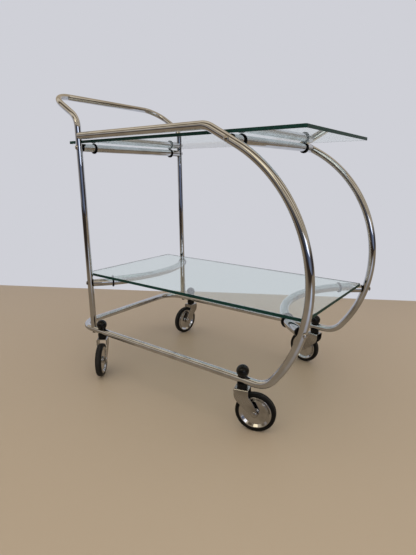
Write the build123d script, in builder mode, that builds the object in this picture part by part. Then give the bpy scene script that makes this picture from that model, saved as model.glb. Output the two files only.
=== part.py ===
from build123d import *
import os
from math import asin, cos, radians, sin, sqrt, tan

# Glass serving trolley on four swivel castors, in millimetres.
# +X points to the bowed front, -X to the push handle, +Z up. The right side is -Y.
# The origin lies on the floor, under the middle of the box that holds the whole trolley.

# Driving sizes of the tube frame
overall_length = 855
frame_width = 440
frame_tube_d = 20
frame_wall = 1.5
rail_rise = 582
rear_setback = 63
bend_radius = 60
arc_start_slope = 28
arc_end_slope = 53
upper_straight = 77
lower_straight = 7
spigot_length = 90

# Driving sizes of the handle, whose ends are the two uprights
handle_tube_d = 18
handle_wall = 1.5
upright_lean = 0.9
upright_gap = 3
leg_turn_rise = 49
grip_rise = 122
leg_bend_radius = 48
grip_bend_radius = 62

# Driving sizes of the glass shelves, set out from the tubes around them
glass_thickness = 8
glass_corner_radius = 4
glass_edge_chamfer = 0.6
top_glass_drop = 18
top_glass_side_gap = 11
top_glass_rear_overhang = 12
top_glass_front_setback = 46
lower_glass_rise = 164
lower_glass_side_gap = 19.5
lower_glass_rear_setback = 19
lower_glass_front_setback = 27

# Driving sizes of the bars below the glass and of what is fitted to them
bar_d = 22
bar_wall = 1.5
rear_bow_depth = 95
front_bow_depth = 122
ring_section = 2.6
ring_slack = 0.95
ring_width = 5
ring_edge_radius = 1.2
ring_inset = 52
flange_lip = 0.3
flange_thickness = 1.2
plug_depth = 12
bolt_d = 6
bolt_bite = 10
bolt_head_lip = 3.5
bolt_head_rim = 1
bolt_head_height = 4

# Driving sizes of a castor wheel
wheel_d = 100
tyre_width = 18
tyre_shoulder = 5
tyre_height = 9
tyre_seat_depth = 4
tyre_seat_width = 12
bead_run = 8.5
bead_bulge = 2.25
bead_edge = 0.9
hub_face_width = 10
groove_depth = 1.4
groove_width = 2
boss_d = 20
boss_width = 18
bush_d = 12
axle_d = 8
axle_head_lip = 2.5
axle_head_rim = 0.5
axle_head_height = 2.5

# Driving sizes of a castor fork and its stem
trail = 34
wheel_top_gap = 7
wheel_side_gap = 4.5
fork_sheet = 2
fork_top_length = 36
fork_shoulder_height = 12
fork_bend_radius = 2
fork_tip_radius = 9
fork_tip_start = 30
fork_tip_turn = 153
stem_d = 10
stem_head_lip = 4
stem_head_height = 2.4
stem_thread = 14
collar_d = 26
collar_height = 11
saddle_d = 24
saddle_crown = 2
saddle_wrap = 2
ball_d = 31
ball_seat_drop = 10
front_castor_gap = 64
rear_castor_gap = 38.5
castor_angles = {"front_right": 17.5, "rear_right": -51.5, "front_left": 172, "rear_left": -94.5}

# Clearances
seat_gap = 0.1
running_gap = 0.05
thrust_gap = 0.1
plug_gap = 0.4
flange_gap = 0.3
hub_side_gap = 0.4

# Radii and half widths
frame_r = frame_tube_d / 2
handle_r = handle_tube_d / 2
bar_r = bar_d / 2
ring_inner_r = bar_r + ring_slack
ring_r = ring_inner_r + ring_section
ring_sag = ring_slack - seat_gap
bolt_r = bolt_d / 2
bolt_head_r = bolt_r + bolt_head_lip
axle_r = axle_d / 2
stem_r = stem_d / 2
wheel_r = wheel_d / 2
tyre_half = tyre_width / 2
rim_r = wheel_r - tyre_height
tyre_seat_r = rim_r - tyre_seat_depth
tyre_seat_half = tyre_seat_width / 2

# Heights: the wheel carries the fork, and the collar on the fork carries the base rail
plate_under = wheel_d + wheel_top_gap
plate_top = plate_under + fork_sheet
base_height = plate_top + collar_height + frame_r
rail_height = base_height + rail_rise
top_glass_underside = rail_height - top_glass_drop
lower_glass_underside = base_height + lower_glass_rise


def tyre_reach(corner, outward):
    """How far a castor's wheel stands out past its stem, towards +Y (outward 1) or -Y (-1)."""
    turn = radians(castor_angles[corner])
    crown = (wheel_r - tyre_shoulder) * abs(sin(turn))
    wall = (tyre_half - tyre_shoulder) * abs(cos(turn))
    return outward * trail * sin(turn) + crown + wall + tyre_shoulder


# The mid-plane of the frame lies off the origin, because the castors swing out unevenly
right_reach = max(tyre_reach("front_right", -1), tyre_reach("rear_right", -1))
left_reach = max(tyre_reach("front_left", 1), tyre_reach("rear_left", 1))
mid_y = (right_reach - left_reach) / 2
side_y = {"right": mid_y - frame_width / 2, "left": mid_y + frame_width / 2}

# Handle end: the uprights stand just ahead of the corner bends of the base and lean back a little
grip_x = -overall_length / 2 + handle_r
rear_tube_x = -overall_length / 2 + rear_setback
upright_x = rear_tube_x + bend_radius + handle_r + upright_gap
lean_back = radians(upright_lean)
upright_way = (-sin(lean_back), 0, cos(lean_back))


def upright_tube(height):
    """X of an upright's axis, and its lean from upright, at a height."""
    return upright_x - (height - base_height) * tan(lean_back), lean_back


# Front end: one large arc, tangent to a straight below the rail and to one above the base
arc_start = radians(arc_start_slope)
arc_end = radians(arc_end_slope)
upper_run = bend_radius * tan(arc_start / 2) + upper_straight
lower_run = bend_radius * tan(arc_end / 2) + lower_straight
arc_drop = rail_rise - upper_run * sin(arc_start) - lower_run * sin(arc_end)
arc_radius = arc_drop / (cos(arc_start) + cos(arc_end))
arc_x = overall_length / 2 - frame_r - arc_radius
arc_z = base_height + lower_run * sin(arc_end) + arc_radius * cos(arc_end)
arc_top_x = arc_x + arc_radius * sin(arc_start)
arc_top_z = arc_z + arc_radius * cos(arc_start)
arc_tangent = arc_radius * tan((radians(180) - arc_start - arc_end) / 2)
arc_corner_x = arc_top_x + arc_tangent * cos(arc_start)
arc_corner_z = arc_top_z - arc_tangent * sin(arc_start)
rail_corner_x = arc_top_x - upper_run * cos(arc_start)
base_corner_x = arc_x + arc_radius * sin(arc_end) - lower_run * cos(arc_end)


def front_tube(height):
    """X of a side tube's axis on its front run, and its lean from upright, at a height."""
    if height > arc_top_z:
        return rail_corner_x + (rail_height - height) / tan(arc_start), radians(90) - arc_start
    lean = asin((height - arc_z) / arc_radius)
    return arc_x + arc_radius * cos(lean), lean


# Castors: where the stems stand, and the stack above the base rail
castor_x = {"front": base_corner_x - front_castor_gap, "rear": upright_x + rear_castor_gap}
fork_inner_half = tyre_half + wheel_side_gap
fork_outer_half = fork_inner_half + fork_sheet
saddle_top = base_height + frame_r + saddle_crown
stem_top = saddle_top + stem_thread
ball_r = ball_d / 2
ball_z = saddle_top + ball_seat_drop

os.makedirs("parts", exist_ok=True)


def save(piece, name):
    """Label one finished piece and write it to its own file."""
    piece.part.label = name
    export_step(piece.part, f"parts/{name}.step")


class Bar:
    """A bar across the trolley below a shelf, straight or bowed by a circular arc.

    It joins two tubes of one radius at one X, each leaning from upright by an angle. A bow's
    depth is how far its crown stands off the line between those tubes, towards +X or -X.
    The flange of its end plugs is thick enough to fill in for the lean of the tube.
    """

    def __init__(self, tube_x, tube_lean, tube_r, height, depth=0):
        self.tube_x = tube_x
        self.tube_lean = tube_lean
        self.tube_r = tube_r
        self.height = height
        self.depth = depth
        half = frame_width / 2
        if depth:
            self.radius = (half**2 + depth**2) / (2 * abs(depth))
        tilt = asin(abs(self.plane_at(half, 1).z_dir.X * sin(tube_lean)))
        self.tube_half = tube_r / cos(tilt) + seat_gap
        self.head_lift = bolt_head_r * tan(tilt)
        self.flange = flange_thickness + (bar_r + flange_lip) * tan(tilt)
        self.end_offset = half - self.tube_half - self.flange
        if depth:
            end_turn = (self.tube_half + self.flange) / self.radius
            self.end_offset = self.radius * sin(asin(half / self.radius) - end_turn)

    def plane_at(self, offset, side):
        """Plane square to the bar, facing outwards, at a distance from the mid-plane."""
        if not self.depth:
            point = (self.tube_x, mid_y + side * offset, self.height)
            return Plane(origin=point, x_dir=(1, 0, 0), z_dir=(0, side, 0))
        turn = asin(offset / self.radius)
        bend = self.depth / abs(self.depth)
        centre = Vector(self.tube_x + self.depth - bend * self.radius, mid_y, self.height)
        out = Vector(bend * cos(turn), side * sin(turn), 0)
        along = Vector(-bend * sin(turn), side * cos(turn), 0)
        return Plane(origin=centre + out * self.radius, x_dir=out, z_dir=along)

    def end_planes(self):
        """Planes of the two cut ends, right and left, each facing outwards."""
        return [self.plane_at(self.end_offset, side) for side in (-1, 1)]

    def tube_planes(self):
        """Planes square to the two joined tubes, right and left, where the bar meets them."""
        upward = (-sin(self.tube_lean), 0, cos(self.tube_lean))
        return [Plane(origin=(self.tube_x, y, self.height), z_dir=upward) for y in side_y.values()]


ring_top = ring_r - ring_sag
top_bar_z = top_glass_underside - ring_top - running_gap
bow_z = lower_glass_underside - ring_top - running_gap
upper_rear = Bar(*upright_tube(top_bar_z), handle_r, top_bar_z)
upper_front = Bar(*front_tube(top_bar_z), frame_r, top_bar_z)
lower_rear = Bar(*upright_tube(bow_z), handle_r, bow_z, rear_bow_depth)
lower_front = Bar(*front_tube(bow_z), frame_r, bow_z, -front_bow_depth)
bars = {
    "upper_rear_bar": upper_rear,
    "upper_front_bar": upper_front,
    "lower_rear_bow": lower_rear,
    "lower_front_bow": lower_front,
}


def drill_for_bolt(bar, plane):
    """Drill the tube that a bar joins for its bolt, from the plane of the bar's end."""
    with BuildSketch(plane) as hole:
        Circle(bolt_r + seat_gap)
    extrude(hole.sketch, amount=bar.flange + 3 * bar.tube_r, mode=Mode.SUBTRACT)


# Side tubes: rail, front arc, base rail and half of the rear cross tube, in one bent length
rail_end_x, _ = upright_tube(rail_height)
for index, (side, y) in enumerate(side_y.items()):
    with BuildPart() as side_tube:
        with BuildLine():
            route = FilletPolyline(
                (rail_end_x + handle_r / 2, y, rail_height),
                (rail_corner_x, y, rail_height),
                (arc_corner_x, y, arc_corner_z),
                (base_corner_x, y, base_height),
                (rear_tube_x, y, base_height),
                (rear_tube_x, mid_y, base_height),
                radius=[bend_radius, arc_radius, bend_radius, bend_radius],
            )
        with BuildSketch(Plane(origin=route @ 0, z_dir=route % 0)):
            Circle(frame_r)
            Circle(frame_r - frame_wall, mode=Mode.SUBTRACT)
        sweep()
        # The end of the rail is cut to the round of the upright
        with BuildSketch(Plane(origin=(rail_end_x, y, rail_height), z_dir=upright_way)):
            Circle(handle_r + running_gap)
        extrude(amount=frame_tube_d, both=True, mode=Mode.SUBTRACT)
        # Holes for the two castor stems, the foot bolt and the bar bolts
        with BuildSketch(Plane.XY.offset(base_height)):
            with Locations((castor_x["front"], y), (castor_x["rear"], y)):
                Circle(stem_r + seat_gap)
        extrude(amount=frame_tube_d, both=True, mode=Mode.SUBTRACT)
        with BuildSketch(Plane(origin=(upright_x, y, base_height), z_dir=upright_way)):
            Circle(bolt_r + seat_gap)
        extrude(amount=frame_tube_d, both=True, mode=Mode.SUBTRACT)
        for bar in (upper_front, lower_front):
            drill_for_bolt(bar, bar.end_planes()[index])
    save(side_tube, f"{side}_side_tube")

# The two side tubes meet on a spigot inside the rear cross tube
with BuildPart() as rear_joint_spigot:
    with BuildSketch(Plane(origin=(rear_tube_x, mid_y, base_height), z_dir=(0, 1, 0))):
        Circle(frame_r - frame_wall - running_gap)
    extrude(amount=spigot_length / 2, both=True)
save(rear_joint_spigot, "rear_joint_spigot")

# Handle: two uprights, two sloping legs and the grip, in one bent length
leg_turn_x, _ = upright_tube(rail_height + leg_turn_rise)
with BuildPart() as handle_tube:
    with BuildLine():
        route = FilletPolyline(
            (upright_x, side_y["right"], base_height),
            (leg_turn_x, side_y["right"], rail_height + leg_turn_rise),
            (grip_x, side_y["right"], rail_height + grip_rise),
            (grip_x, side_y["left"], rail_height + grip_rise),
            (leg_turn_x, side_y["left"], rail_height + leg_turn_rise),
            (upright_x, side_y["left"], base_height),
            radius=[leg_bend_radius, grip_bend_radius, grip_bend_radius, leg_bend_radius],
        )
    with BuildSketch(Plane(origin=route @ 0, z_dir=route % 0)):
        Circle(handle_r)
        Circle(handle_r - handle_wall, mode=Mode.SUBTRACT)
    sweep()
    # Each foot is cut to the round of the base rail
    with BuildSketch(Plane.YZ.offset(upright_x)):
        with Locations((side_y["right"], base_height), (side_y["left"], base_height)):
            Circle(frame_r + running_gap)
    extrude(amount=handle_tube_d, both=True, mode=Mode.SUBTRACT)
    for bar in (upper_rear, lower_rear):
        for plane in bar.end_planes():
            drill_for_bolt(bar, plane)
save(handle_tube, "handle_tube")


def dome_bolt(plane, seat, tip):
    """A domed bolt along the plane's axis: underside of its head at seat, shank to tip."""
    crown = seat + bolt_head_height
    rim = (bolt_head_r, seat + bolt_head_rim)
    with BuildSketch(Plane(plane.origin, plane.x_dir, -plane.y_dir)) as profile:
        with BuildLine():
            Polyline((0, crown), (0, tip), (bolt_r, tip), (bolt_r, seat), (bolt_head_r, seat), rim)
            TangentArc((0, crown), rim, tangent=(1, 0))
        make_face()
    revolve(profile.sketch, axis=Axis(plane.origin, plane.z_dir))


# Feet of the uprights: a threaded plug in each, and a bolt from below the base rail
down_upright = -Vector(upright_way)
foot_planes = [Plane(origin=(upright_x, y, base_height), z_dir=down_upright) for y in side_y.values()]
foot_seat = frame_r / cos(lean_back) + bolt_head_r * tan(lean_back) + seat_gap
with BuildPart() as upright_foot_plugs:
    for plane in foot_planes:
        with BuildSketch(plane.offset(-foot_seat)):
            Circle(handle_r - handle_wall - running_gap)
            Circle(bolt_r + running_gap, mode=Mode.SUBTRACT)
        extrude(amount=-plug_depth)
save(upright_foot_plugs, "upright_foot_plugs")

with BuildPart() as upright_foot_bolts:
    for plane in foot_planes:
        dome_bolt(plane, foot_seat, -foot_seat - bolt_bite)
save(upright_foot_bolts, "upright_foot_bolts")

# Bars and bows, with their end plugs and the rubber rings that hang loose on them
for name, bar in bars.items():
    right_end, left_end = bar.end_planes()
    with BuildPart() as bar_tube:
        with BuildLine():
            if bar.depth:
                route = ThreePointArc(right_end.origin, bar.plane_at(0, 1).origin, left_end.origin)
            else:
                route = Line(right_end.origin, left_end.origin)
        with BuildSketch(Plane(origin=route @ 0, z_dir=route % 0)):
            Circle(bar_r)
            Circle(bar_r - bar_wall, mode=Mode.SUBTRACT)
        sweep()
    save(bar_tube, name)

    with BuildPart() as plugs:
        for plane, tube_plane in zip(bar.end_planes(), bar.tube_planes()):
            with BuildSketch(plane):
                Circle(bar_r + flange_lip)
            extrude(amount=bar.flange)
            with BuildSketch(plane):
                Circle(bar_r - bar_wall - plug_gap)
            extrude(amount=-plug_depth)
            with BuildSketch(plane.offset(-plug_depth)):
                Circle(bolt_r + running_gap)
            extrude(amount=plug_depth + bar.flange, mode=Mode.SUBTRACT)
            # The flange is cut to the round of the tube where that leans into it
            with BuildSketch(tube_plane):
                Circle(bar.tube_r + flange_gap)
            extrude(amount=bar_d, both=True, mode=Mode.SUBTRACT)
    save(plugs, f"{name}_plugs")

    with BuildPart() as rings:
        for side in (-1, 1):
            ring_plane = bar.plane_at(frame_width / 2 - ring_inset, side)
            centre = ring_plane.origin - Vector(0, 0, ring_sag)
            with BuildSketch(Plane(centre, ring_plane.x_dir, -ring_plane.y_dir)) as rubber:
                with Locations(((ring_r + ring_inner_r) / 2, 0)):
                    Rectangle(ring_section, ring_width)
                fillet(rubber.vertices().group_by(Axis.X)[-1], ring_edge_radius)
            revolve(axis=Axis(centre, ring_plane.z_dir))
    save(rings, f"{name}_rings")

# Domed bolts through the uprights and through the front arcs into the plugs
bolted_bars = {"upright_bolts": (upper_rear, lower_rear), "arc_bolts": (upper_front, lower_front)}
for name, pair in bolted_bars.items():
    with BuildPart() as bolts:
        for bar in pair:
            for plane in bar.end_planes():
                dome_bolt(plane, bar.flange + 2 * bar.tube_half + bar.head_lift, -bolt_bite)
    save(bolts, name)

# Glass shelves, which lie on the rings
inner_width = frame_width - frame_tube_d
front_x = overall_length / 2
top_rear_x = rear_tube_x - top_glass_rear_overhang
top_front_x = front_x - top_glass_front_setback
lower_rear_x = rear_tube_x + lower_glass_rear_setback
lower_front_x = front_x - lower_glass_front_setback
shelves = {
    "top_glass_shelf": (top_rear_x, top_front_x, top_glass_side_gap, top_glass_underside),
    "lower_glass_shelf": (lower_rear_x, lower_front_x, lower_glass_side_gap, lower_glass_underside),
}
for name, (rear_edge, front_edge, side_gap, underside) in shelves.items():
    with BuildPart() as shelf:
        with BuildSketch(Plane.XY.offset(underside)):
            with Locations(((rear_edge + front_edge) / 2, mid_y)):
                RectangleRounded(front_edge - rear_edge, inner_width - 2 * side_gap, glass_corner_radius)
        extrude(amount=glass_thickness)
        chamfer(shelf.faces().filter_by(Axis.Z).edges(), glass_edge_chamfer)
    save(shelf, name)


def fork_tip(turn):
    """Point on the round tip of a fork, in its side view, and the way the outline runs there."""
    angle = radians(fork_tip_start - turn)
    point = (trail + fork_tip_radius * cos(angle), wheel_r + fork_tip_radius * sin(angle))
    return point, (sin(angle), -cos(angle))


def fork_outline(plane):
    """Side view of a fork: a square top whose legs sweep back to a round tip at the axle."""
    half = fork_top_length / 2
    shoulder = plate_top - fork_shoulder_height
    drop = shoulder - wheel_r
    rear_knee = (half + trail / 6, shoulder - drop / 4)
    front_knee = (-half + trail / 2, shoulder - drop * 3 / 5)
    toe, toe_way = fork_tip(0)
    sole, sole_way = fork_tip(fork_tip_turn / 2)
    heel, heel_way = fork_tip(fork_tip_turn)
    with BuildSketch(plane) as outline:
        with BuildLine():
            Polyline((-half, shoulder), (-half, plate_top), (half, plate_top), (half, shoulder))
            Spline((half, shoulder), rear_knee, toe, tangents=[(0, -1), toe_way])
            ThreePointArc(toe, sole, heel)
            Spline(heel, front_knee, (-half, shoulder), tangents=[heel_way, (0, 1)])
        make_face()
    return outline.sketch


# Castors, each turned about its stem by its own angle
for corner, angle in castor_angles.items():
    end_name, side = corner.split("_")
    x, y = castor_x[end_name], side_y[side]
    back = Vector(cos(radians(angle)), sin(radians(angle)), 0)
    across = Vector(-sin(radians(angle)), cos(radians(angle)), 0)
    hub = Vector(x, y, wheel_r) + back * trail
    stem_axis = Axis((x, y, 0), (0, 0, 1))
    axle_axis = Axis(hub, across)
    side_view = Plane(origin=(x, y, 0), x_dir=back, z_dir=-across)
    end_view = Plane(origin=(x, y, 0), x_dir=across, z_dir=back)
    hub_view = Plane(origin=hub, x_dir=back, z_dir=across)
    hub_section = Plane(origin=hub, x_dir=back, z_dir=(0, 0, 1))

    # Ball nut on the threaded stem, with a flat seat and a blind hole
    with BuildPart() as ball_nut:
        hole_r = stem_r + running_gap
        hole_top = stem_top + seat_gap
        seat_rim = (sqrt(ball_r**2 - ball_seat_drop**2), saddle_top)
        ball_top = (0, ball_z + ball_r)
        with BuildSketch(side_view):
            with BuildLine():
                Polyline(ball_top, (0, hole_top), (hole_r, hole_top), (hole_r, saddle_top), seat_rim)
                ThreePointArc(seat_rim, (ball_r, ball_z), ball_top)
            make_face()
        revolve(axis=stem_axis)
    save(ball_nut, f"{corner}_ball_nut")

    # Saddle above the base rail and collar below it, both cut to the round of the tube
    saddle = (saddle_d, saddle_top - saddle_crown - saddle_wrap, saddle_top)
    collar = (collar_d, plate_top + thrust_gap, base_height - frame_r + saddle_wrap)
    for name, (diameter, bottom, top) in {"saddle": saddle, "collar": collar}.items():
        with BuildPart() as cushion:
            with BuildSketch(Plane(origin=(x, y, bottom))):
                Circle(diameter / 2)
                Circle(stem_r + running_gap, mode=Mode.SUBTRACT)
            extrude(amount=top - bottom)
            with BuildSketch(Plane.YZ.offset(x)):
                with Locations((y, base_height)):
                    Circle(frame_r + seat_gap)
            extrude(amount=diameter, both=True, mode=Mode.SUBTRACT)
        save(cushion, f"{corner}_{name}")

    # Stem: the fork hangs on its head and turns on its shank
    with BuildPart() as stem:
        head_top = plate_under - thrust_gap
        with BuildSketch(Plane(origin=(x, y, head_top))):
            Circle(stem_r + stem_head_lip)
        extrude(amount=-stem_head_height)
        with BuildSketch(Plane(origin=(x, y, head_top))):
            Circle(stem_r)
        extrude(amount=stem_top - head_top)
    save(stem, f"{corner}_stem")

    # Fork: sheet bent over in a U and trimmed to its side view
    with BuildPart() as fork:
        with BuildSketch(end_view) as bent_sheet:
            with Locations((0, plate_top / 2)):
                Rectangle(2 * fork_outer_half, plate_top)
            fillet(bent_sheet.vertices().group_by(Axis.Y)[-1], fork_bend_radius + fork_sheet)
        extrude(amount=fork_top_length + trail, both=True)
        with BuildSketch(end_view) as space_within:
            with Locations((0, plate_under / 2)):
                Rectangle(2 * fork_inner_half, plate_under)
            fillet(space_within.vertices().group_by(Axis.Y)[-1], fork_bend_radius)
        extrude(amount=fork_top_length + trail, both=True, mode=Mode.SUBTRACT)
        extrude(fork_outline(side_view), amount=2 * fork_outer_half, both=True, mode=Mode.INTERSECT)
        with BuildSketch(Plane(origin=(x, y, plate_under))):
            Circle(stem_r + running_gap)
        extrude(amount=fork_sheet, mode=Mode.SUBTRACT)
        with BuildSketch(hub_view):
            Circle(axle_r + running_gap)
        extrude(amount=2 * fork_outer_half, both=True, mode=Mode.SUBTRACT)
    save(fork, f"{corner}_fork")

    # Axle: a pin with a domed head on each leg of the fork
    with BuildPart() as axle:
        head_r = axle_r + axle_head_lip
        head_seat = fork_outer_half + running_gap
        head_rim = (head_r, head_seat + axle_head_rim)
        head_top = head_seat + axle_head_height
        with BuildSketch(hub_section):
            with BuildLine():
                Line((0, head_top), (0, 0))
                Polyline((axle_r, 0), (axle_r, head_seat), (head_r, head_seat), head_rim)
                TangentArc((0, head_top), head_rim, tangent=(1, 0))
                mirror(about=Plane.XZ)
            make_face()
        revolve(axis=axle_axis)
    save(axle, f"{corner}_axle")

    # Bush that the wheel is fixed on and that runs on the axle
    with BuildPart() as hub_bush:
        with BuildSketch(hub_view):
            Circle(bush_d / 2)
            Circle(axle_r + running_gap, mode=Mode.SUBTRACT)
        extrude(amount=fork_inner_half - hub_side_gap, both=True)
    save(hub_bush, f"{corner}_hub_bush")

    # Pressed wheel: hub boss, flat face, groove, round bead and a channel for the tyre
    with BuildPart() as wheel_disc:
        bore_r = bush_d / 2 + running_gap
        face = hub_face_width / 2
        face_r = rim_r - bead_run - groove_width
        bead_foot = (face_r + groove_width, face - groove_depth)
        bead_crown = (rim_r - bead_run / 2, tyre_seat_half + bead_bulge)
        bead_lip = (rim_r, tyre_seat_half + bead_edge)
        with BuildSketch(hub_section):
            with BuildLine():
                Polyline((bore_r, 0), (bore_r, boss_width / 2), (boss_d / 2, boss_width / 2))
                Polyline((boss_d / 2, boss_width / 2), (boss_d / 2, face), (face_r, face))
                Polyline((face_r, face), (face_r, face - groove_depth), bead_foot)
                ThreePointArc(bead_foot, bead_crown, bead_lip)
                Polyline(bead_lip, (rim_r, tyre_seat_half), (tyre_seat_r, tyre_seat_half), (tyre_seat_r, 0))
                mirror(about=Plane.XZ)
            make_face()
        revolve(axis=axle_axis)
    save(wheel_disc, f"{corner}_wheel_disc")

    # Rubber tyre, seated in the channel of the wheel
    with BuildPart() as tyre:
        root_r = tyre_seat_r + seat_gap
        root_half = tyre_seat_half - seat_gap
        wall_r = rim_r + seat_gap
        with BuildSketch(hub_section) as section:
            with BuildLine():
                Polyline((root_r, 0), (root_r, root_half), (wall_r, root_half), (wall_r, tyre_half))
                Polyline((wall_r, tyre_half), (wheel_r, tyre_half), (wheel_r, 0))
                mirror(about=Plane.XZ)
            make_face()
            crown_points = section.vertices().group_by(Axis.X)[-1].sort_by(Axis.Y)
            fillet([crown_points[0], crown_points[-1]], tyre_shoulder)
        revolve(axis=axle_axis)
    save(tyre, f"{corner}_tyre")
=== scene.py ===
# %% [markdown]
# # A glass serving trolley
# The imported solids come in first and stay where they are. Every piece made below stands in the same
# frame: +X to the bowed front, -X to the push handle, +Z up, the right side at -Y.

# %% Load the frame
from math import asin, cos, radians, sin, tan

import bpy
import numpy as np
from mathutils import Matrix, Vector


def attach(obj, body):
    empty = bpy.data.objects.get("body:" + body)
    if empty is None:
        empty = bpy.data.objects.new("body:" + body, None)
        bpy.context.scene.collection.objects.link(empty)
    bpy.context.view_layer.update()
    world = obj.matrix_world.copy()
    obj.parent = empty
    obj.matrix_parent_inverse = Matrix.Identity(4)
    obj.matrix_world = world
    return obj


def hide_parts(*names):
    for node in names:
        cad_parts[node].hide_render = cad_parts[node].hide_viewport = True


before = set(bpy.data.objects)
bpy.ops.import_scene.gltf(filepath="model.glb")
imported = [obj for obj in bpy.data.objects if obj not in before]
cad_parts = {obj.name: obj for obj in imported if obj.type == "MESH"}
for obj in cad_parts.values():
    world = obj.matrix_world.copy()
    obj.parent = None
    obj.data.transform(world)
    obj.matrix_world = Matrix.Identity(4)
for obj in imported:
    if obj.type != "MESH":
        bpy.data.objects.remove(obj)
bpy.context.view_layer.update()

# %% [markdown]
# ## Sizes
# The real trolley is set out from a few numbers: tube sizes, bend radii and shelf heights. They
# could be read off the solids, but written once, in millimetres, they show how one size follows
# from another, and they put each surface below on its solid.

# %% Sizes in millimetres
FRAME_R, HANDLE_R, BAR_R = 10, 9, 11
BASE_Z, RAIL_Z, BEND_R = 130, 712, 60
HALF_LENGTH, HALF_WIDTH = 427.5, 220
REAR_INSET, FOOT_GAP, LEAN = 63, 3, radians(0.9)
GRIP_X, REAR_X = HANDLE_R - HALF_LENGTH, REAR_INSET - HALF_LENGTH
FOOT_X = REAR_X + BEND_R + HANDLE_R + FOOT_GAP
WHEEL_R, TRAIL, TYRE_HALF, SHOULDER = 50, 34, 9, 5
TURNS = {"front_right": 17.5, "rear_right": -51.5, "front_left": 172, "rear_left": -94.5}


def wheel_reach(corner, outward):
    """How far a wheel stands out past its stem, towards +Y (1) or -Y (-1).

    Reach = trail * sin(turn), plus the flat part of the tyre seen at that turn, plus its shoulder.
    """
    turn = radians(TURNS[corner])
    crown = (WHEEL_R - SHOULDER) * abs(sin(turn)) + (TYRE_HALF - SHOULDER) * abs(cos(turn))
    return outward * TRAIL * sin(turn) + crown + SHOULDER


RIGHT_REACH = max(wheel_reach("front_right", -1), wheel_reach("rear_right", -1))
LEFT_REACH = max(wheel_reach("front_left", 1), wheel_reach("rear_left", 1))
MID_Y = (RIGHT_REACH - LEFT_REACH) / 2
SIDE_Y = {"right": MID_Y - HALF_WIDTH, "left": MID_Y + HALF_WIDTH}
print(f"mid-plane at y {MID_Y:.2f} mm")

# %% [markdown]
# ## The bowed front
# The front of each side is one long arc between two straight slopes. Its radius could be guessed,
# but it follows: what is left of the height from base to rail, once the slopes have taken their
# share, is radius * (cos upper slope + cos lower slope).

# %% Front arc in millimetres
UPPER_SLOPE, LOWER_SLOPE = radians(28), radians(53)
UPPER_STRAIGHT, LOWER_STRAIGHT = 77, 7
UPPER_RUN = BEND_R * tan(UPPER_SLOPE / 2) + UPPER_STRAIGHT
LOWER_RUN = BEND_R * tan(LOWER_SLOPE / 2) + LOWER_STRAIGHT
ARC_DROP = RAIL_Z - BASE_Z - UPPER_RUN * sin(UPPER_SLOPE) - LOWER_RUN * sin(LOWER_SLOPE)
ARC_R = ARC_DROP / (cos(UPPER_SLOPE) + cos(LOWER_SLOPE))
ARC_X = HALF_LENGTH - FRAME_R - ARC_R
ARC_Z = BASE_Z + LOWER_RUN * sin(LOWER_SLOPE) + ARC_R * cos(LOWER_SLOPE)
ARC_TOP_X, ARC_TOP_Z = ARC_X + ARC_R * sin(UPPER_SLOPE), ARC_Z + ARC_R * cos(UPPER_SLOPE)
RAIL_CORNER_X = ARC_TOP_X - UPPER_RUN * cos(UPPER_SLOPE)
BASE_CORNER_X = ARC_X + ARC_R * sin(LOWER_SLOPE) - LOWER_RUN * cos(LOWER_SLOPE)
print(f"front arc radius {ARC_R:.1f} mm")

# %% [markdown]
# ## From a grid of points to a mesh
# Nearly every piece here is a tube or a turned part, so one kind of surface is enough: rows of
# points, each row closed on itself. Blender could make these with curves and a bevel, but a numpy
# grid gives exact places and exact normals, and polished chrome shows every error in a normal.

# %% Surfaces


def unit(vectors):
    """Vectors divided by their lengths."""
    return vectors / np.maximum(np.linalg.norm(vectors, axis=-1, keepdims=True), 1e-12)


def skin(rows, ring=False, tips=None, flat=True):
    """Arrays of a surface over a grid [row, step round], with each row closed on itself.

    Normal = (step round) x (step to the next row). With ring, the last row joins the first. If not,
    both ends close on a point: tips gives the two points, or else they lie in the middle of their
    rows. A flat end has the normal of a straight cut, any other runs on smoothly to its tip.
    """
    count, around = rows.shape[:2]
    step_round = np.roll(rows, -1, 1) - np.roll(rows, 1, 1)
    step_on = np.roll(rows, -1, 0) - np.roll(rows, 1, 0) if ring else np.gradient(rows, axis=0)
    normals = unit(np.cross(step_round, step_on))
    index = np.arange(count * around).reshape(count, around)
    steps = np.linalg.norm(np.diff(rows[:, 0], axis=0, append=rows[:1, 0]), axis=-1)
    run = np.concatenate(([0], np.cumsum(steps)))
    uv = np.stack(np.meshgrid(np.arange(around + 1) / around, run), -1)
    last = count if ring else count - 1

    def four(table):
        low, high = table[:last], np.roll(table, -1, 0)[:last]
        return np.stack((low, np.roll(low, -1, 1), np.roll(high, -1, 1), high), 2)

    corner_uv = (uv[:last, :-1], uv[:last, 1:], uv[1:last + 1, 1:], uv[1:last + 1, :-1])
    points, faces = [rows.reshape(-1, 3)], [four(index).reshape(-1, 4)]
    loops, places = [four(normals).reshape(-1, 3)], [np.stack(corner_uv, 2).reshape(-1, 2)]
    part = [np.zeros(last * around, int)]
    for end in () if ring else (0, count - 1):
        tip = rows[end].mean(0) if tips is None else np.asarray(tips[int(end > 0)], float)
        first, second = index[end], np.roll(index[end], -1)
        if end == 0:
            first, second = second, first
        faces.append(np.stack((first, second, np.full(around, count * around + (end > 0))), 1))
        fan = np.cross(points[0][first] - tip, points[0][second] - tip).sum(0)
        corners = np.tile(unit(fan), (around, 3, 1))
        if not flat:
            corners[:, :2] = normals.reshape(-1, 3)[np.stack((first, second), 1)]
        loops.append(corners.reshape(-1, 3))
        places.append(np.tile(uv[end, 0], (around * 3, 1)))
        points.append(tip[None])
        part.append(np.ones(around, int))
    return {"points": np.vstack(points), "faces": faces, "normals": np.vstack(loops),
            "uv": np.vstack(places), "part": np.concatenate(part)}


print("surfaces: skin")

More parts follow.
